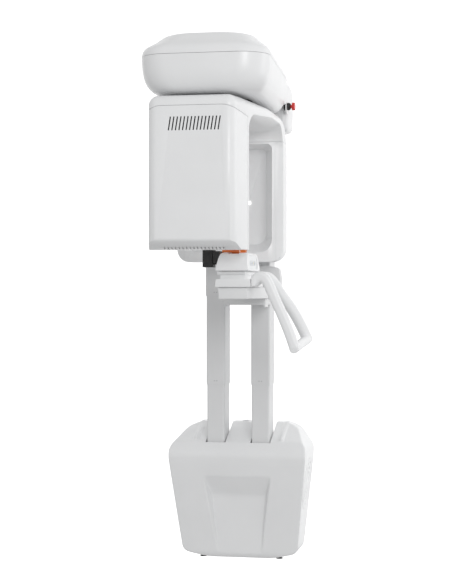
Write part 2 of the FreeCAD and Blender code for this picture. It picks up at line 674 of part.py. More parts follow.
def make_arm_covers():
    """Hood, tube housing and detector housing, all thin shells."""
    wall, seam_gap = size("arm_wall"), size("seam_gap")
    split = size("hood_split")
    parting, low = size("tube_inner") - 22, size("rear_bottom")

    room = without_passage(hood_block(wall, split - 20), wall)
    hub_hole = Part.makeCylinder(size("hub_radius") + 8, 80, V(0, size("axis_y"), size("hood_top") - 60))
    hood = without_passage(hood_block(0, split), 0).cut(room).cut(hub_hole)
    shaped("top_hood", hood.cut(tube_region(0)))

    tube = without_passage(hood_block(0, low - 20).common(prism(tube_side(0), "YZ", -260, 260)), 0)
    hollow = without_passage(hood_block(wall, low - 30).common(prism(tube_side(wall), "YZ", -260, 260)), wall)
    shell = tube.cut(hollow)
    front = shell.common(tube_region(seam_gap))
    for tool in louvre_tools():
        front = front.cut(tool)
    shaped("tube_front_cover", front)
    back = shell.common(slab("Y", parting, -600)).common(slab("Z", 0, split - seam_gap))
    window = window_prism(0, size("tube_inner") - 25, size("tube_inner") + 25)
    shaped("tube_inner_cover", back.cut(window))
    shaped("beam_window", window_prism(0.4, size("tube_inner") - 3, size("tube_inner") - 0.2))

    rear = without_passage(rear_block(0, split - seam_gap), 0)
    hollow = without_passage(rear_block(wall, split + 20), wall)
    rim = size("rear_rim") + 12
    shaped("detector_back_shell", rear.common(slab("Y", rim, 0)).cut(hollow))
    rim_plate = rear.common(slab("Y", size("rear_rim"), rim - seam_gap))
    lining = bowl(wall).common(slab("Y", size("rear_rim") + 2, size("rear_panel") + wall + 5)).common(rear)
    laser_place = V(size("laser_x"), size("rear_panel") - 5, size("laser_z"))
    laser_hole = Part.makeCylinder(size("laser_radius") + 0.3, 20, laser_place, V(0, 1, 0))
    shaped("detector_front_bowl", rim_plate.fuse(lining).cut(bowl(0)).cut(laser_hole))


def tube_region(gap):
    """Block in front of the parting line that holds the tube housing's front cover."""
    half, top, low = size("tube_half") + 30, size("tube_top") - gap, size("rear_bottom") - 40
    return prism([(half, low, 0), (half, top, 96), (-half, top, 96), (-half, low, 0)],
                 "XZ", -1100, size("tube_inner") - 22 - gap)


def window_prism(gap, low, high):
    """Upright slot for the beam, or the pane that fills it with a gap all round."""
    half, bottom, top = 30 - gap, 1000 + gap, 1290 - gap
    return prism([(half, bottom, 6), (half, top, 6), (-half, top, 6), (-half, bottom, 6)], "XZ", low, high)


def rear_block(inset, top):
    """Outside of the detector housing shrunk by inset, with a soft lower edge."""
    front, low = size("rear_rim"), size("rear_bottom") + inset
    block = hood_block(inset, low).common(slab("Y", front, 0))

    def lower(edge):
        return edge.BoundBox.ZMax < low + 1 and edge.BoundBox.YMax > front + 1

    return softened(block, 50 - inset, lower).common(slab("Z", 0, top))


def louvre_tools():
    """Slanted cooling slots high on the tube housing and a row of small ones along its lower edge."""
    front = size("tube_front")
    tools = []
    for index in range(15):
        x = -79 + index * 12.0
        slot = Part.makeBox(4.4, 30, 46, V(x, front - 10, 1305))
        slot.rotate(V(x, front, 1305), V(0, 1, 0), 9)
        tools.append(slot)
    for index in range(17):
        x = -104 + index * 12.6
        slot = Part.makeBox(4.0, 34, 14, V(x, front + 30, 905))
        tools.append(slot)
    return tools


def make_arm_inside():
    """Hub, frame, tube head and detector inside the rotating arm."""
    axis_y = "axis_y"
    hub = fuse("HubParts",
               rod("HubShaft", "shaft_radius", 190, 0, axis_y, "hood_top - 40"),
               rod("HubFlange", "hub_radius", 16, 0, axis_y, "hood_top - 40"),
               rod("HubWheel", 66, 14, 0, axis_y, "upper_top - 82"),
               rod("HubCollar", 46, 14, 0, axis_y, "upper_top + 12.4"))
    node(hub, "arm_hub")
    inner, bar_top = size("tube_inner"), size("hood_top") - 40
    top_bar = Part.makeBox(110, 610, 14, V(-55, inner - 46, bar_top - 14))
    front_leg = Part.makeBox(100, 8, 286, V(-50, inner - 44, bar_top - 300))
    strut = prism([(-345, bar_top - 14, 0), (-345, bar_top, 0), (-322, bar_top, 0), (-284, bar_top - 44, 0),
                   (-271, bar_top - 84, 0), (-271, bar_top - 193, 0), (-279, bar_top - 193, 0),
                   (-279, bar_top - 84, 0), (-287, bar_top - 50, 0), (-328, bar_top - 14, 0)], "YZ", -55, 55)
    shaped("arm_frame", top_bar.multiFuse([front_leg, strut]))
    head = fuse("TubeHeadParts",
                box("TubeHeadCase", 200, 70, 210, 0, "tube_inner - 88", 1010),
                rod("TubeHeadPort", 30, 8, 0, "tube_inner - 53", 1110, "Y"))
    node(head, "tube_head")
    collimator = cut("Collimator", box("CollimatorBlock", 90, 26, 110, 0, "tube_inner - 31.5", 1060),
                     box("CollimatorSlit", 50, 40, 60, 0, "tube_inner - 31.5", 1085),
                     box("CollimatorClear", 102, 10, 200, 0, "tube_inner - 40", 1040))
    node(collimator, "collimator")
    panel = fuse("DetectorParts", box("DetectorCase", 170, 14, 200, 0, "rear_panel + 13", 980),
                 box("DetectorBoard", 120, 5, 120, 0, "rear_panel + 22", 1010),
                 box("DetectorTab", 60, 6, 12, 0, "rear_panel + 12", 1178))
    node(panel, "detector_panel")
    laser = fuse("LaserParts",
                 rod("LaserBody", "laser_radius", 7.7, "laser_x", "rear_panel - 2", "laser_z", "Y"),
                 rod("LaserLens", "laser_radius + 1.5", 3, "laser_x", "rear_panel - 3", "laser_z", "Y"))
    node(laser, "positioning_laser")


# ---------------------------------------------------------------- chin rest arm

def make_chin_arm():
    """Everything that holds the patient's chin and hands, carried by the right column."""
    left, right = size("chin_left"), size("chin_right")
    front, back = size("chin_front"), size("chin_back")
    low, top = size("chin_bottom"), size("chin_top")
    profile = [(front, low, 4), (front + 8, top, 46), (back - 8, top, 46), (back, low, 4)]
    ends = [(left, low, 3), (right, low, 3), (right - 6, top, 6), (left + 14, top, 12)]
    body = prism(profile, "YZ", left - 10, right + 10).common(prism(ends, "XZ", front - 10, back + 10))
    room = [(front + 5, low - 1, 0), (front + 13, top - 5, 40),
            (back - 13, top - 5, 40), (back - 5, low - 1, 0)]
    inside = prism(room, "YZ", left + 14, right - 12)
    pocket = prism([(front + 34, low + 8, 6), (front + 38, top - 9, 30), (back - 38, top - 9, 30),
                    (back - 34, low + 8, 6)], "YZ", right - 9, right + 10)
    shell = body.cut(inside).cut(pocket)
    for index in range(4):
        y = key_y(index)
        half = size("key_size") / 2 + 0.4
        shell = shell.cut(Part.makeBox(30, 2 * half, 2 * half, V(right - 20, y - half, size("key_z") - half)))
    for side in (-1, 1):
        y = size("axis_y") + side * (size("temple_rest") + size("temple_travel") / 2)
        half = size("temple_travel") / 2 + 10.5
        shell = shell.cut(Part.makeBox(37, 2 * half, 40, V(83.5, y - half, top - 20)))
    shaped("chin_box", shell)
    plate = prism([(front + 34.4, low + 8.4, 6), (front + 38.4, top - 9.4, 30), (back - 38.4, top - 9.4, 30),
                   (back - 34.4, low + 8.4, 6)], "YZ", right - 9, right - 5)
    for index in range(4):
        half = size("key_size") / 2 + 0.4
        corner = V(right - 20, key_y(index) - half, size("key_z") - half)
        plate = plate.cut(Part.makeBox(30, 2 * half, 2 * half, corner))
    shaped("keypad_panel", plate)
    for index in range(4):
        y = key_y(index)
        key = box(f"Key{index}", 5, "key_size", "key_size", "chin_right - 6", y, "key_z - key_size / 2")
        node(key, ("key_up", "key_down", "key_light", "key_temples")[index])

    lip = [(front + 14, low - 0.4, 2), (back - 14, low - 0.4, 2),
           (back - 22, low - 14, 8), (front + 22, low - 14, 8)]
    tray_low, tray_top = size("tray_bottom"), size("tray_top")
    neck = prism(lip, "YZ", left + 4, right - 14)
    stem = Part.makeBox(84, 190, low - 14 - tray_top + 0.4, V(left + 14, front + 25, tray_top - 0.2))
    tray = prism([(left, tray_low, 3), (left + 4, tray_top, 3), (right + 8, tray_top, 3),
                  (right + 10, tray_low, 3)], "XZ", front - 4, back + 4)
    shaped("chin_tray", tray.multiFuse([stem, neck]))
    block_low = size("block_bottom")
    column_face = size("column_y") - size("lower_depth") / 2 - size("stage_step") - 0.1
    block = prism([(left + 10, block_low, 4), (left + 7, tray_low - 0.3, 0), (right - 2, tray_low - 0.3, 0),
                   (right - 6, block_low, 4)], "XZ", front + 10, -262)
    shaped("arm_beam", block)
    rail = prism([(-8, size("rail_bottom"), 2), (-8, block_low - 0.3, 0), (136, block_low - 0.3, 0),
                  (136, size("rail_bottom"), 2)], "XZ", -420, column_face)
    tabs = [Part.makeBox(6, 60, 30, V(x, -420, size("rail_bottom") - 8)) for x in (-14, 136)]
    shaped("arm_rail", rail.multiFuse(tabs))
    root = prism([(48, block_low, 6), (48, 868, 10), (132, 868, 10), (168, 862, 14), (176, 800, 60),
                  (150, block_low, 10)], "XZ", -261.6, column_face)
    shaped("arm_root", root)


def key_y(index):
    """Place of a keypad key along the chin box's end face."""
    middle = (size("chin_front") + size("chin_back")) / 2
    return middle + (index - 1.5) * size("key_pitch")


def handle_strand(root, end, spread):
    """One curved strand of the handle from its root outwards and down; spread lifts its far end."""
    width, thick = size("handle_width") / 2, size("handle_thick") / 2
    line = [(size("chin_right") + 12.5, 800, 0), (205, 822, 0), (240, 766, 0.35), (268, 704, 0.65),
            (294, 642, 0.85), (size("handle_out"), size("handle_low") + 14, 1)]
    points = [V(x + 14 * share * spread, root + (end - root) * share, z + 24 * share * spread)
              for x, z, share in line]
    curve = Part.BSplineCurve()
    curve.interpolate(points)
    along = curve.tangent(curve.FirstParameter)[0]
    profile = outline([(-thick, -width, 12), (thick, -width, 12),
                       (thick, width, 12), (-thick, width, 12)], "XY")
    profile.rotate(ORIGIN, V(0, 0, 1), 90)
    profile.Placement = FreeCAD.Placement(points[0], FreeCAD.Rotation(V(0, 0, 1), along))
    return Part.Wire(curve.toShape()).makePipeShell([profile], True, False), points[-1]


def make_handle():
    """Loop that the patient holds: two strands that part below their root and meet in a bar."""
    front, back = size("chin_front") + 16, size("chin_back") - 16
    root, face = front + 46, size("chin_right") + 10.2
    near, near_end = handle_strand(front, front, 0)
    far, far_end = handle_strand(root, back, 1)
    across = (far_end - near_end).normalize()
    radius = size("handle_width") / 2
    bar = Part.makeCylinder(radius, (far_end - near_end).Length + 2 * radius - 4,
                            near_end - across * (radius - 2), across)
    foot = Part.makeBox(14, root - front + 36, 24, V(face + 0.3, front - 18, 788))
    tray_side = Part.makeBox(200, 600, 200, V(face - 200, front - 196, 720))
    shaped("patient_handle", near.multiFuse([far, bar, foot]).cut(tray_side))


def make_supports():
    """Chin post, bite block and temple supports above the chin box."""
    holder = fuse("HolderParts", box("HolderBlock", 24, 78, 40, 32, "axis_y", 872),
                  box("HolderFoot", 30, 40, 14, 34, "axis_y", 866))
    node(cut("Holder", holder, box("HolderClear", 100, 400, 40, "94.3", "axis_y", 842)), "chin_holder")
    node(fuse("PostParts", box("PostBody", 36, 48, 84, -2, "axis_y", 856),
              box("PostGuide", 4.5, 30, 40, 17, "axis_y", 890)), "chin_post")
    tongue = fuse("BiteParts", box("BiteStem", 8, 12, 60, -2, "axis_y", 940),
                  box("BitePad", 20, 26, 10, -6, "axis_y", 1000))
    node(tongue, "bite_block")
    for side, name in ((-1, "left"), (1, "right")):
        y = size("axis_y") + side * size("temple_rest")
        blade = prism([(118, 898, 2), (118, 1000, 30), (66, 1034, 4), (58, 1020, 4), (94, 990, 20),
                       (94, 898, 2)], "XZ", y - 4, y + 4)
        foot = Part.makeBox(30, 20, 10, V(88, y - 10, 892))
        base = Part.makeBox(60, 20, 14, V(60, y - 10, size("chin_top") + 1))
        shaped(f"temple_support_{name}", blade.multiFuse([foot, base]))


def make_estop():
    parts = fuse("EstopBaseParts",
                 rod("EstopCollar", 14, 8, "head_half + 0.3", "estop_y", "estop_z", "X"),
                 cone("EstopBezel", 14, 10, 4.5, "head_half + 8.3", "estop_y", "estop_z", "X"),
                 rod("EstopNeck", 10, 14, "head_half - 12", "estop_y", "estop_z", "X"),
                 rod("EstopNut", 15, 5, "head_half - 12", "estop_y", "estop_z", "X"))
    bore = rod("EstopBore", 6.3, 44, "head_half - 16", "estop_y", "estop_z", "X")
    node(cut("EstopBase", parts, bore), "estop_base")
    cap = DOC.addObject("Part::Fillet", "EstopCapRounded")
    disc = rod("EstopDisc", "estop_radius", 12, "head_half + 18", "estop_y", "estop_z", "X")
    DOC.recompute()
    rims = [index for index, edge in enumerate(disc.Shape.Edges, start=1)
            if isinstance(edge.Curve, Part.Circle)]
    cap.Base = disc
    cap.Edges = [(index, 3.0, 3.0) for index in rims]
    stem = rod("EstopStem", 6, 28, "head_half - 6", "estop_y", "estop_z", "X")
    node(fuse("EstopButton", cap, stem), "estop_button")


def write_parts():
    DOC.recompute()
    for item in DOC.Objects:
        failed = [state for state in item.State if state in ("Invalid", "Error")]
        assert not failed, (item.Name, item.State)
    labels = [item.Label for item in NODES]
    assert len(set(labels)) == len(labels) <= 60, len(labels)
    for item in NODES:
        assert not item.Shape.isNull() and item.Shape.isValid(), item.Label
        assert item.Shape.Solids, item.Label
    os.makedirs("parts", exist_ok=True)
    for item in NODES:
        item.Shape.exportStep(f"parts/{item.Label}.step")
        print(f"{item.Label:24s} {len(item.Shape.Solids)} solids {item.Shape.Volume / 1000:9.1f} cm3")


make_base()
make_columns()
make_head()
make_module()
make_drive()
make_belt()
make_arm_covers()
make_arm_inside()
make_chin_arm()
make_handle()
make_supports()
make_estop()
write_parts()
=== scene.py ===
"""Looks of the wall-mounted panoramic X-ray machine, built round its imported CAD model."""

import json
import math

import bmesh
import bpy
from mathutils import Matrix, Vector

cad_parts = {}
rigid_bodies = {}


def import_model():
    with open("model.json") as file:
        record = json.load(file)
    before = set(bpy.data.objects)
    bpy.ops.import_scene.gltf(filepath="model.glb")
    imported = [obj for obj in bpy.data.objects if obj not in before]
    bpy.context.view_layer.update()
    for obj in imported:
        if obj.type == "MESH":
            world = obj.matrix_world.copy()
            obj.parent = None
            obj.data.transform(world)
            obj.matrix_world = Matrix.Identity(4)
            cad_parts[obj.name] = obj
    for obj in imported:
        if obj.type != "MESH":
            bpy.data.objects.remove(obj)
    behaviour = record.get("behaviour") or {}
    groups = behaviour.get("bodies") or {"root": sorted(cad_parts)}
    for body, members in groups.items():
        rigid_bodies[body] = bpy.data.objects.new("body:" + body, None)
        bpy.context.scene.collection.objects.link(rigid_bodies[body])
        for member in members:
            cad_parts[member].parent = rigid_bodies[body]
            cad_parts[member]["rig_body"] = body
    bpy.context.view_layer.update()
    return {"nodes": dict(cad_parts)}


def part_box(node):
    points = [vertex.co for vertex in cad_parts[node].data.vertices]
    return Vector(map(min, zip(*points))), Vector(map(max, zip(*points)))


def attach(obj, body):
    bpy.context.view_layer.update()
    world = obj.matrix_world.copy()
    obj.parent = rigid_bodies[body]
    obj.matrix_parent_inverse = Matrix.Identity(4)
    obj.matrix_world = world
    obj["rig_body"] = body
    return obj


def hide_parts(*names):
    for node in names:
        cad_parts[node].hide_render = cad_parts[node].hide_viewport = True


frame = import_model()
MM = 0.001

# driving sizes of the machine in mm
AXIS_Y = -751.0
COLUMN_X, COLUMN_Y = 87.5, -158
HEAD_HALF, HEAD_SEAM = 198, 1478
HEAD_FRONT, HEAD_LOW_FRONT, HEAD_BACK = -332, -228, -62
ESTOP_Y, ESTOP_Z = -250, 1474
MODULE_BACK, MODULE_CORNER, DOME_RADIUS = -336, 100, 150
DISC_X, DISC_Y, DISC_Z, DISC_LEAN = 256.0, -118, 30, 6.4
RECESS_TOP, RECESS_HALF_TOP, RECESS_HALF_BOTTOM = 80, 140, 108
FOCAL_PIXELS, PICTURE_HEIGHT, SENSOR = 1500.0, 584.0, 36.0

SLOTS = {
    "shell_white": ["base_cover", "side_grille_left", "side_grille_right", "head_upper_cover",
                    "head_lower_cover", "module_lid", "module_body", "top_hood", "tube_front_cover",
                    "tube_inner_cover", "detector_back_shell", "detector_front_bowl", "chin_box",
                    "chin_tray", "patient_handle", "top_clip"],
    "column_paint": ["column_lower_left", "column_lower_right", "column_mid_left", "column_mid_right",
                     "column_upper_left", "column_upper_right"],
    "arm_paint": ["arm_beam", "arm_rail", "arm_root"],
    "steel": ["wall_plate", "base_chassis", "head_bracket", "arm_frame"],
    "cast_alloy": ["top_arm", "arm_hub", "tube_head"],
    "drive_metal": ["lift_drives", "lift_nut_left", "lift_nut_right", "slewing_bearing", "rotation_motor",
                    "motor_pulley", "collimator"],
    "electronics": ["power_supply", "control_board", "detector_panel"],
    "black_plastic": ["cable_glands", "mains_inlet", "mains_rocker", "chin_holder", "estop_base",
                      "chin_post", "drive_belt"],
    "window_plastic": ["beam_window"],
    "keypad_film": ["keypad_panel"],
    "key_caps": ["key_up", "key_down", "key_light", "key_temples"],
    "bite_plastic": ["bite_block"],
    "orange_clear": ["temple_support_left", "temple_support_right"],
    "red_plastic": ["estop_button"],
    "laser_glass": ["positioning_laser"],
}
BODY_OF = {name: node["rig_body"] for name, node in frame["nodes"].items()}
SLOT_OF = {name: slot for slot, names in SLOTS.items() for name in names}


# ---------------------------------------------------------------- materials

class Nodes:
    """A new material's shader and the helper nodes that feed it."""

    def __init__(self, name):
        self.material = bpy.data.materials.new(name)
        self.material.use_nodes = True
        self.tree = self.material.node_tree
        self.shader = self.tree.nodes["Principled BSDF"]
        self.place = self.tree.nodes.new("ShaderNodeTexCoord").outputs["Object"]

    def add(self, kind, values=None, **links):
        made = self.tree.nodes.new(kind)
        for key, value in (values or {}).items():
            if hasattr(made, key):
                setattr(made, key, value)
            else:
                made.inputs[key].default_value = value
        for key, source in links.items():
            self.tree.links.new(source, made.inputs[key.replace("_", " ")])
        return made

    def noise(self, scale, detail=3.0, stretch=None):
        place = self.place
        if stretch:
            place = self.add("ShaderNodeMapping", {"Scale": stretch}, Vector=place).outputs["Vector"]
        return self.add("ShaderNodeTexNoise", {"Scale": scale, "Detail": detail}, Vector=place).outputs["Fac"]

    def ramp(self, fac, stops):
        made = self.add("ShaderNodeValToRGB", Fac=fac)
        elements = made.color_ramp.elements
        while len(elements) < len(stops):
            elements.new(0.5)
        for element, (place, value) in zip(elements, stops):
            element.position = place
            element.color = (*value, 1.0)
        return made.outputs["Color"]

    def feed(self, socket, source):
        self.tree.links.new(source, self.shader.inputs[socket])

    def bump(self, height, strength, distance):
        made = self.add("ShaderNodeBump", {"Strength": strength, "Distance": distance}, Height=height)
        self.feed("Normal", made.outputs["Normal"])


def shade(value, tint=(1.0, 1.0, 1.0)):
    return tuple(value * part for part in tint)


def moulded(name, value, tint, roughness, grain=900.0, bump=0.12, spread=0.012, coat=0.0):
    """Painted or moulded surface: faint mottling, slight roughness variation and a fine grain."""
    made = Nodes(name)
    clouds = made.noise(7.0, 4.0)
    low, high = shade(value - spread, tint), shade(value + spread, tint)
    made.feed("Base Color", made.ramp(clouds, [(0.3, low), (0.7, high)]))
    rough = made.ramp(made.noise(38.0, 2.0),
                      [(0.3, shade(roughness - 0.03)), (0.7, shade(roughness + 0.03))])
    made.feed("Roughness", rough)
    made.bump(made.noise(grain, 2.0), bump, 0.00004)
    made.shader.inputs["Coat Weight"].default_value = coat
    made.shader.inputs["Coat Roughness"].default_value = 0.2
    return made.material


def metal(name, value, tint, roughness, stretch=(1.0, 1.0, 1.0)):
    """Bare metal with drawn or cast grain."""
    made = Nodes(name)
    made.shader.inputs["Metallic"].default_value = 1.0
    grain = made.noise(160.0, 5.0, stretch)
    low, high = shade(value * 0.86, tint), shade(value, tint)
    made.feed("Base Color", made.ramp(grain, [(0.35, low), (0.65, high)]))
    rough = made.ramp(grain, [(0.3, shade(roughness - 0.08)), (0.7, shade(roughness + 0.08))])
    made.feed("Roughness", rough)
    made.bump(grain, 0.25, 0.00006)
    return made.material


def circuit():
    """Solder-masked board with copper tracks and component fields."""
    made = Nodes("electronics")
    values = {"Scale": 60.0, "Mortar Size": 0.06, "Color1": (0.03, 0.16, 0.07, 1),
              "Color2": (0.05, 0.21, 0.10, 1), "Mortar": (0.30, 0.26, 0.10, 1)}
    tracks = made.add("ShaderNodeTexBrick", values, Vector=made.place)
    made.feed("Base Color", tracks.outputs["Color"])
    made.shader.inputs["Roughness"].default_value = 0.42
    made.bump(tracks.outputs["Fac"], 0.4, 0.0002)
    return made.material


def clear_orange():
    """Tinted translucent moulding."""
    made = Nodes("orange_clear")
    tint = made.ramp(made.noise(30.0), [(0.3, (0.86, 0.20, 0.04)), (0.7, (0.95, 0.30, 0.08))])
    made.feed("Base Color", tint)
    made.shader.inputs["Transmission Weight"].default_value = 0.45
    made.shader.inputs["Roughness"].default_value = 0.22
    made.shader.inputs["IOR"].default_value = 1.49
    made.bump(made.noise(600.0), 0.05, 0.00005)
    return made.material


def glowing(name, colour, strength):
    """Small lit lens."""
    made = Nodes(name)
    made.feed("Base Color", made.ramp(made.noise(400.0), [(0.3, shade(0.95, colour)), (0.7, colour)]))
    made.feed("Emission Color", made.ramp(made.noise(300.0), [(0.3, shade(0.9, colour)), (0.7, colour)]))
    made.shader.inputs["Emission Strength"].default_value = strength
    made.shader.inputs["Roughness"].default_value = 0.15
    return made.material


WARM = (1.0, 0.995, 0.985)
COOL = (0.985, 0.992, 1.0)
MATERIALS = {
    "shell_white": moulded("shell_white", 0.83, COOL, 0.36, coat=0.12),
    "column_paint": moulded("column_paint", 0.74, COOL, 0.48, grain=1400.0, bump=0.3),
    "arm_paint": moulded("arm_paint", 0.76, COOL, 0.44, grain=1200.0, bump=0.25),
    "steel": metal("steel", 0.62, (1.0, 1.0, 1.03), 0.38, (1.0, 1.0, 12.0)),
    "cast_alloy": metal("cast_alloy", 0.66, (1.0, 1.0, 1.02), 0.5),
    "drive_metal": metal("drive_metal", 0.52, (1.0, 1.0, 1.02), 0.3, (6.0, 6.0, 1.0)),
    "electronics": circuit(),
    "black_plastic": moulded("black_plastic", 0.018, WARM, 0.5, grain=700.0, bump=0.4, spread=0.004),
    "window_plastic": moulded("window_plastic", 0.66, COOL, 0.55, bump=0.3),
    "keypad_film": moulded("keypad_film", 0.80, (0.97, 0.99, 1.0), 0.3, grain=500.0),
    "key_caps": moulded("key_caps", 0.76, (0.96, 0.98, 1.0), 0.34, grain=500.0),
    "bite_plastic": moulded("bite_plastic", 0.62, (1.0, 0.82, 0.66), 0.4),
    "orange_clear": clear_orange(),
    "red_plastic": moulded("red_plastic", 0.62, (1.0, 0.035, 0.03), 0.28, spread=0.03, coat=0.4),
    "laser_glass": glowing("laser_glass", (1.0, 0.98, 0.96), 1.6),
}
# painted shade: near-black material for the sheet behind the cooling slots, standing in for the shaded inside
# of the housing
SLOT_SHADE_PAINT = moulded("painted_slot_shade", 0.035, COOL, 0.7, bump=0.6, spread=0.01)
PRINT_BLUE = moulded("print_blue", 0.42, (0.62, 0.80, 1.0), 0.4, spread=0.02)
PRINT_YELLOW = moulded("print_yellow", 0.72, (1.0, 0.88, 0.45), 0.4, spread=0.02)

for name, node in frame["nodes"].items():
    node.data.materials.clear()
    node.data.materials.append(MATERIALS[SLOT_OF[name]])


# ---------------------------------------------------------------- meshes

def new_mesh(name, verts, faces, scale=MM):
    """Mesh object from points in mm."""
    data = bpy.data.meshes.new(name)
    data.from_pydata([tuple(part * scale for part in vert) for vert in verts], [], faces)
    data.validate()
    made = bpy.data.objects.new(name, data)
    bpy.context.scene.collection.objects.link(made)
    mesh = bmesh.new()
    mesh.from_mesh(data)
    bmesh.ops.recalc_face_normals(mesh, faces=mesh.faces)
    mesh.to_mesh(data)
    mesh.free()
    return made


def modify(piece, kind, **values):
    """Add a modifier and apply it at once."""
    modifier = piece.modifiers.new(kind.lower(), kind)
    for key, value in values.items():
        setattr(modifier, key, value)
    graph = bpy.context.evaluated_depsgraph_get()
    data = bpy.data.meshes.new_from_object(piece.evaluated_get(graph))
    piece.modifiers.clear()
    old = piece.data
    piece.data = data
    bpy.data.meshes.remove(old)
    return piece


def carve(piece, tool, operation="DIFFERENCE"):
    """Boolean with a tool that is then thrown away."""
    modify(piece, "BOOLEAN", object=tool, operation=operation, solver="EXACT")
    bpy.data.objects.remove(tool)
    return piece


def finish_piece(piece, body, material, replaced=(), angle=35.0):
    """Shade, paint and attach a piece."""
    piece.data.materials.clear()
    piece.data.materials.append(material)
    for face in piece.data.polygons:
        face.use_smooth = True
        face.material_index = 0
    piece.data.set_sharp_from_angle(angle=math.radians(angle))
    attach(piece, body)
    if replaced:
        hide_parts(*replaced)
    return piece


def outline(corners, steps=8):
    """Closed outline through (u, v, radius) corners, with the same number of points at each corner."""
    points = []
    for index, (u, v, radius) in enumerate(corners):
        here = Vector((u, v))
        before = (Vector(corners[index - 1][:2]) - here).normalized()
        after = (Vector(corners[(index + 1) % len(corners)][:2]) - here).normalized()
        half = max(before.angle(after) / 2, 0.02)
        reach = radius / math.tan(half)
        centre = here + (before + after).normalized() * (radius / math.sin(half))
        start, stop = here + before * reach - centre, here + after * reach - centre
        turn = start.angle_signed(stop, 0.0) if radius > 0.01 else 0.0
        for step in range(steps + 1):
            part = start.copy()
            part.rotate(Matrix.Rotation(-turn * step / steps, 2))
            points.append(centre + part)
    return points


def on_plane(plane, point, level):
    u, v = point
    return {"XY": (u, v, level), "XZ": (u, level, v), "YZ": (level, u, v)}[plane]


def skin(name, plane, layers, closed=(True, True)):
    """Surface through outlines at rising levels: layers are (level, points)."""
    count = len(layers[0][1])
    verts = [on_plane(plane, point, level) for level, points in layers for point in points]
    faces = []
    for layer in range(len(layers) - 1):
        for index in range(count):
            after = (index + 1) % count
            low, high = layer * count, (layer + 1) * count
            faces.append((low + index, low + after, high + after, high + index))
    if closed[0]:
        faces.append(tuple(range(count - 1, -1, -1)))
    if closed[1]:
        faces.append(tuple(range((len(layers) - 1) * count, len(layers) * count)))
    piece = new_mesh(name, verts, faces)
    mesh = bmesh.new()
    mesh.from_mesh(piece.data)
    bmesh.ops.remove_doubles(mesh, verts=mesh.verts, dist=0.00002)
    mesh.to_mesh(piece.data)
    mesh.free()
    return piece


def prism(name, plane, corners, low, high, steps=8):
    points = outline(corners, steps)
    return skin(name, plane, [(low, points), (high, points)])


def block(name, low, high):
    """Box between two corners in mm, used as a cutting tool."""
    (a, b, c), (d, e, f) = low, high
    verts = [(x, y, z) for x in (a, d) for y in (b, e) for z in (c, f)]
    faces = [(0, 1, 3, 2), (4, 6, 7, 5), (0, 4, 5, 1), (2, 3, 7, 6), (0, 2, 6, 4), (1, 5, 7, 3)]
    return new_mesh(name, verts, faces)


def drum(name, centre, axis, radius, length, segments=96):
    """Cylinder from a centre point along an axis."""
    axis = Vector(axis).normalized()
    side = axis.orthogonal().normalized()
    other = axis.cross(side)
    verts = []
    for level in (-length / 2, length / 2):
        for step in range(segments):
            turn = math.tau * step / segments
            spoke = side * radius * math.cos(turn) + other * radius * math.sin(turn)
            verts.append(Vector(centre) + axis * level + spoke)
    ends = [tuple(range(segments - 1, -1, -1)), tuple(range(segments, 2 * segments))]
    sides = [(i, (i + 1) % segments, segments + (i + 1) % segments, segments + i) for i in range(segments)]
    return new_mesh(name, verts, ends + sides)


def softened(node, width, segments=3, angle=28.0):
    """Copy of a CAD node with its hard edges rounded, standing for that node."""
    data = frame["nodes"][node].data.copy()
    piece = bpy.data.objects.new(f"{node}_soft", data)
    bpy.context.scene.collection.objects.link(piece)
    mesh = bmesh.new()
    mesh.from_mesh(data)
    bmesh.ops.remove_doubles(mesh, verts=mesh.verts, dist=0.00001)
    bmesh.ops.dissolve_limit(mesh, angle_limit=math.radians(0.5), verts=mesh.verts, edges=mesh.edges)
    mesh.to_mesh(data)
    mesh.free()
    modify(piece, "BEVEL", width=width * MM, segments=segments, limit_method="ANGLE",
           angle_limit=math.radians(angle), harden_normals=False)
    slot = SLOT_OF[node]
    return finish_piece(piece, BODY_OF[node], MATERIALS[slot], (node,))


def melted(piece, voxel, passes):
    """Remesh and relax a closed form until its edges flow."""
    modify(piece, "REMESH", mode="VOXEL", voxel_size=voxel * MM)
    modify(piece, "SMOOTH", factor=0.5, iterations=passes)
    return piece


# ---------------------------------------------------------------- base

def mirrored(points):
    """Corners on the right followed by their images on the left."""
    return points + [(-u, v, radius) for u, v, radius in reversed(points)]


def base_solid(name, inset):
    """Outside of the base cover moved inwards."""
    top, bottom = 260 - inset, -266 + inset
    shoulder, low, crown = 268 - inset, 226 - inset, 172 - inset * 0.5
    depth = 256 - inset
    front = mirrored([(crown, top, 16), (crown + 46, top - 16, 50), (shoulder, top - 90, 46),
                      (shoulder - 2, top - 142, 60), (low, bottom + 28, 34), (low - 100, bottom + 4, 260)])
    side = [(1, bottom, 0), (-170, bottom, 40), (-(depth - 6), 110, 60), (-depth, top - 108, 40),
            (-(depth - 40), top - 66, 30), (-60, top, 0), (1, top, 0)]
    body = prism(name, "XZ", front, -400, 1)
    return carve(body, prism(name + "_side", "YZ", side, -400, 400), "INTERSECT")


def recess(name, grow):
    """Hollow in the base's front with slanted side walls, deepest near its upper end."""
    half_top, half_bottom, top = RECESS_HALF_TOP + grow, RECESS_HALF_BOTTOM + grow, RECESS_TOP + grow
    layers = []
    for level, slant in ((-420, -22), (-264, 0), (-188, 26), (-100, 26)):
        corners = mirrored([(half_top - slant, top, 18), (half_bottom - slant, -300, 1)])
        layers.append((level, outline(corners)))
    wedge = [(-330, top + 60, 0), (-330, -300, 0), (-171 + grow, -300, 0), (-188 + grow, top - 95, 50),
             (-264, top + 22, 0)]
    body = skin(name, "XZ", layers)
    return carve(body, prism(name + "_side", "YZ", wedge, -400, 400), "INTERSECT")


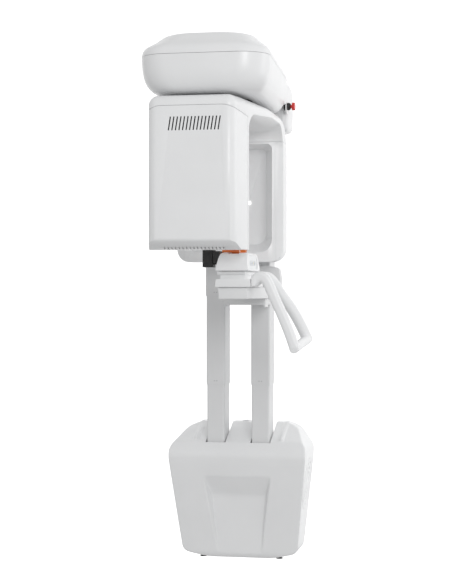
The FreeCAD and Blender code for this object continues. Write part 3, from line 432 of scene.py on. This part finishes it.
def make_disc(cover, side):
    """Opening in the cover for the round side grille, and the plate behind the grille."""
    lean = math.radians(DISC_LEAN)
    place = Vector((side * DISC_X, DISC_Y, DISC_Z))
    outward = Vector((side * math.cos(lean), 0, -math.sin(lean)))
    carve(cover, drum("disc_tool", place - outward * 6, outward, 100.2, 60))
    end = "left" if side < 0 else "right"
    backing = drum(f"grille_backing_{end}", place - outward * 2.0, outward, 99, 1.6)
    modify(backing, "BEVEL", width=0.6 * MM, segments=2, limit_method="ANGLE")
    finish_piece(backing, "base", MATERIALS["shell_white"])


def make_base():
    """Cover of the base box: relaxed outside, ridges, hollow inside and its openings."""
    cover = carve(base_solid("base_shell", 0.6), recess("recess_tool", 0))
    ridge = [(-226, 168, 0), (-206, 206, 0), (-60, 262, 0), (-10, 262, 0), (-10, 240, 0),
             (-60, 240, 0), (-196, 186, 0)]
    for side in (-1, 1):
        strip = prism("ridge", "YZ", ridge, -6, 6, 1)
        strip.data.transform(Matrix.Translation((side * 168 * MM, 0, 0)))
        carve(cover, strip, "UNION")
    melted(cover, 3.4, 6)
    inner = carve(base_solid("base_room", 7.5), recess("room_tool", 6.0))
    inner.data.transform(Matrix.Translation((0, 3 * MM, 0)))
    carve(cover, inner)
    carve(cover, block("wall_cut", (-300, 0.0, -300), (300, 30, 300)))
    for x in (-COLUMN_X, COLUMN_X):
        carve(cover, block("column_notch", (x - 39.3, -217.3, 74), (x + 39.3, 20, 300)))
    for side in (-1, 1):
        make_disc(cover, side)
        carve(cover, drum("gland_tool", (side * 150, -140, -266), (0, 0, 1), 9.5, 60, 48))
    carve(cover, block("inlet_tool", (-22.3, -95.3, -300), (22.3, -64.7, -240)))
    carve(cover, block("rocker_tool", (49.7, -94.3, -300), (70.3, -65.7, -240)))
    finish_piece(cover, "base", MATERIALS["shell_white"], ("base_cover",), 40.0)


# ---------------------------------------------------------------- top module and column head

def module_plan(inset):
    """Plan of the top module moved inwards."""
    right, left, back_right, back_left = 255.5 - inset, -191.5 + inset, 211.5 - inset, -177.5 + inset
    front = -1051.8 + inset
    return outline([(right, front, MODULE_CORNER), (back_right, MODULE_BACK, 22),
                    (back_left, MODULE_BACK, 22), (left, front, MODULE_CORNER)], 16)


def make_module():
    """Lid and tub of the top module; profiles are (height, inset)."""
    lid_profile = [(1560.2, 0.0), (1568, 0.8), (1576, 2.8), (1583, 6), (1589, 10.5), (1594, 16),
                   (1600, 24), (1606, 32), (1612, 39.5), (1618, 46), (1624, 52), (1630, 58.5),
                   (1634.5, 65), (1637.6, 72), (1639.4, 80), (1640, 92)]
    lid = skin("module_lid_shell", "XY", [(z, module_plan(inset)) for z, inset in lid_profile], (False, True))
    modify(lid, "SOLIDIFY", thickness=3.2 * MM, offset=-1.0)
    carve(lid, block("arm_slot", (-78, -366, 1540), (78, -306, 1570)))
    finish_piece(lid, "carriage", MATERIALS["shell_white"], ("module_lid",), 50.0)
    body_profile = [(1434, 80), (1434.3, 66), (1435.6, 55), (1438.5, 44), (1444, 33), (1452, 24),
                    (1463, 16), (1477, 9.5), (1494, 5), (1514, 2), (1536, 0.6), (1559, 0)]
    layers = [(z, module_plan(inset)) for z, inset in body_profile]
    body = skin("module_body_shell", "XY", layers, (True, False))
    modify(body, "SOLIDIFY", thickness=3.2 * MM, offset=-1.0)
    carve(body, drum("dome_tool", (0, AXIS_Y, 1440), (0, 0, 1), DOME_RADIUS, 60, 160))
    carve(body, block("mouth_tool", (-150, -366, 1450), (150, -306, 1570)))
    finish_piece(body, "carriage", MATERIALS["shell_white"], ("module_body",), 50.0)


def head_plan(front, inset):
    """Plan of a column head cover moved inwards."""
    half, back = HEAD_HALF - inset, HEAD_BACK - inset
    return outline([(half, front + inset, 24), (half, back, 40), (-half, back, 40),
                    (-half, front + inset, 24)], 10)


def make_head():
    """Upper and lower covers of the column head; profiles are (height, inset)."""
    upper = [(HEAD_SEAM + 0.2, 0.0), (1500, 0.8), (1526, 2.2), (1546, 4.5), (1560, 8), (1571, 13),
             (1580, 20), (1586.5, 28), (1590.5, 38), (1592, 52)]
    top = skin("head_upper_shell", "XY", [(z, head_plan(HEAD_FRONT, inset)) for z, inset in upper])
    layers = [(z + (4 if z < HEAD_SEAM + 1 else -3.4), head_plan(HEAD_FRONT, inset + 3.6))
              for z, inset in upper]
    carve(top, skin("head_room", "XY", layers))
    carve(top, block("head_floor_tool", (-190, -226, 1470), (190, -66, 1490)))
    ear = prism("estop_ear", "YZ", [(-276, 1482, 0), (-276, 1446, 20), (-229, 1446, 8), (-229, 1482, 0)],
                HEAD_HALF - 3.6, HEAD_HALF)
    carve(top, ear, "UNION")
    carve(top, block("head_mouth_tool", (-148, -352, 1486), (148, -292, 1582)))
    carve(top, drum("estop_tool", (194, ESTOP_Y, ESTOP_Z), (1, 0, 0), 10.3, 30, 48))
    carve(top, drum("nut_tool", (183.6, ESTOP_Y, ESTOP_Z), (1, 0, 0), 15.4, 20, 48))
    finish_piece(top, "carriage", MATERIALS["shell_white"], ("head_upper_cover",), 50.0)
    lower = [(1384, 24.0), (1384.8, 16), (1388, 9.5), (1394, 5.2), (1404, 3), (1430, 1.6),
             (HEAD_SEAM - 1, 0)]
    layers = [(z, head_plan(HEAD_LOW_FRONT, inset)) for z, inset in lower]
    low = skin("head_lower_shell", "XY", layers, (True, False))
    modify(low, "SOLIDIFY", thickness=3.6 * MM, offset=-1.0)
    for x in (-COLUMN_X, COLUMN_X):
        carve(low, block("head_column_tool", (x - 39.9, -215.9, 1360), (x + 39.9, -100.1, 1424)))
    finish_piece(low, "carriage", MATERIALS["shell_white"], ("head_lower_cover",), 50.0)


# ---------------------------------------------------------------- rotating arm, chin rest and small parts

def make_arm():
    """Shells of the rotating arm, and a near-black sheet behind the cooling slots that paints the shade
    inside them.
    """
    for node in ("top_hood", "tube_front_cover", "tube_inner_cover", "detector_back_shell",
                 "detector_front_bowl"):
        softened(node, 1.1, 2, 40.0)
    # painted shade: thin near-black sheet just behind the cooling slots, so the slots read dark
    shade_sheet = block("louvre_shade_sheet", (-98, -1044.5, 1298), (98, -1043, 1358))
    finish_piece(shade_sheet, "rotating_arm", SLOT_SHADE_PAINT)


def icon(name, body, centre, corners, material):
    """Flat printed sign on a key; corners are (y, z) about the key's centre."""
    x, y, z = centre
    sign = prism(name, "YZ", [(y + u, z + v, 0.2) for u, v in corners], x, x + 0.12, 2)
    finish_piece(sign, body, material)


def make_signs():
    """Generic signs on the four keys."""
    bulb = [(-3.4, -1), (-1.4, -4), (1.4, -4), (3.4, -1), (3.4, 2), (1.4, 4.6), (-1.4, 4.6), (-3.4, 2)]
    signs = {"key_up": [[(-4, -3), (4, -3), (0, 5)]], "key_down": [[(-4, 3), (0, -5), (4, 3)]],
             "key_light": [bulb],
             "key_temples": [[(-5, -4), (-3, -4), (-3, 4), (-5, 4)], [(3, -4), (5, -4), (5, 4), (3, 4)],
                             [(-2, -1), (2, -1), (2, 1), (-2, 1)]]}
    for key, shapes in signs.items():
        low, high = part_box(key)
        centre = (high.x / MM + 0.02, (low.y + high.y) / 2 / MM, (low.z + high.z) / 2 / MM)
        paint = PRINT_YELLOW if key == "key_light" else PRINT_BLUE
        for index, corners in enumerate(shapes):
            icon(f"sign_{key}_{index}", key, centre, corners, paint)


def make_chin_rest():
    """Softened pieces of the chin rest arm and the moulded handle."""
    for node, width in (("chin_box", 1.6), ("chin_tray", 2.0), ("arm_beam", 3.0), ("arm_rail", 1.2),
                        ("arm_root", 3.0), ("keypad_panel", 0.6), ("chin_holder", 1.0), ("chin_post", 1.5),
                        ("bite_block", 1.2), ("key_up", 0.6), ("key_down", 0.6), ("key_light", 0.6),
                        ("key_temples", 0.6)):
        softened(node, width)
    for node in ("temple_support_left", "temple_support_right"):
        softened(node, 1.2)
    data = frame["nodes"]["patient_handle"].data.copy()
    handle = bpy.data.objects.new("handle_loop", data)
    bpy.context.scene.collection.objects.link(handle)
    melted(handle, 2.6, 8)
    finish_piece(handle, "carriage", MATERIALS["shell_white"], ("patient_handle",), 60.0)


def stage_screws(body, ride, name, side, level, depth):
    """Pair of screws near the foot of a column stage."""
    for offset, mark in ((-5, "a"), (5, "b")):
        centre = (side * COLUMN_X + offset, COLUMN_Y - depth / 2 - 0.1, level + 14)
        screw = drum(f"stage_screw_{body}_{name}_{mark}", centre, (0, 1, 0), 2.0, 0.8, 24)
        modify(screw, "BEVEL", width=0.2 * MM, segments=2, limit_method="ANGLE")
        finish_piece(screw, ride, MATERIALS["drive_metal"])


def make_small_parts():
    """Emergency stop, clip and the screws of the column stages."""
    for node in ("estop_button", "estop_base", "top_clip"):
        softened(node, 0.8)
    for side, name in ((-1, "left"), (1, "right")):
        stage_screws("mid", f"mid_{name}", name, side, 413.5, 109.8)
    for side, name in ((-1, "left"), (1, "right")):
        stage_screws("carriage", "carriage", name, side, 754.6, 114.6)


make_base()
make_module()
make_head()
make_arm()
make_chin_rest()
make_small_parts()
make_signs()


# ---------------------------------------------------------------- studio

def make_backdrop():
    """Pale floor that curves up behind the machine."""
    profile = [(-14.0, -2.6)]
    profile += [(9.0 + 1.6 * math.sin(turn), -1.0 - 1.6 * math.cos(turn))
                for turn in (math.radians(10 * step) for step in range(10))]
    profile += [(10.6, 12.0)]
    verts = [(x, y, z) for y, z in profile for x in (-18.0, 18.0)]
    faces = [(2 * i, 2 * i + 1, 2 * i + 3, 2 * i + 2) for i in range(len(profile) - 1)]
    floor = new_mesh("studio_floor", verts, faces, 1.0)
    for face in floor.data.polygons:
        face.use_smooth = True
    made = Nodes("studio_paper")
    height = made.add("ShaderNodeSeparateXYZ", Vector=made.place).outputs["Z"]
    bright = made.add("ShaderNodeMapRange", {"From Min": -2.58, "From Max": -2.3}, Value=height)
    rise = bright.outputs["Result"]
    made.feed("Base Color", made.ramp(made.noise(3.0), [(0.3, shade(0.60)), (0.7, shade(0.63))]))
    made.feed("Emission Color", made.ramp(rise, [(0.0, shade(0.0)), (1.0, shade(1.0))]))
    made.shader.inputs["Roughness"].default_value = 0.9
    made.shader.inputs["Emission Strength"].default_value = 0.9
    floor.data.materials.append(made.material)


def area_light(name, place, target, size, power):
    """Rectangular soft light turned towards a target."""
    data = bpy.data.lights.new(name, "AREA")
    data.shape = "RECTANGLE"
    data.size, data.size_y = size
    data.energy = power
    lamp = bpy.data.objects.new(name, data)
    lamp.location = place
    lamp.rotation_euler = (Vector(target) - Vector(place)).to_track_quat("-Z", "Y").to_euler()
    bpy.context.scene.collection.objects.link(lamp)


def make_studio():
    """Backdrop, lights, world and the camera of the picture."""
    make_backdrop()
    world = bpy.data.worlds.new("studio")
    world.use_nodes = True
    world.node_tree.nodes["Background"].inputs["Color"].default_value = (1, 1, 1, 1)
    world.node_tree.nodes["Background"].inputs["Strength"].default_value = 0.64
    bpy.context.scene.world = world
    area_light("key", (2.2, -5.2, 1.9), (0, -0.5, 0.5), (1.8, 1.8), 76)
    area_light("side", (3.6, 0.2, 1.6), (0, -0.4, 0.9), (1.4, 2.6), 24)
    camera_data = bpy.data.cameras.new("photo_camera")
    camera_data.sensor_width = SENSOR
    camera_data.lens = SENSOR * FOCAL_PIXELS / PICTURE_HEIGHT
    camera_data.clip_end = 60.0
    camera = bpy.data.objects.new("photo_camera", camera_data)
    camera.location = (1.066, -5.884, 0.770)
    camera.rotation_euler = (math.radians(90), 0, math.radians(11.1))
    bpy.context.scene.collection.objects.link(camera)
    bpy.context.scene.camera = camera
    bpy.context.scene.view_settings.view_transform = "Standard"


make_studio()
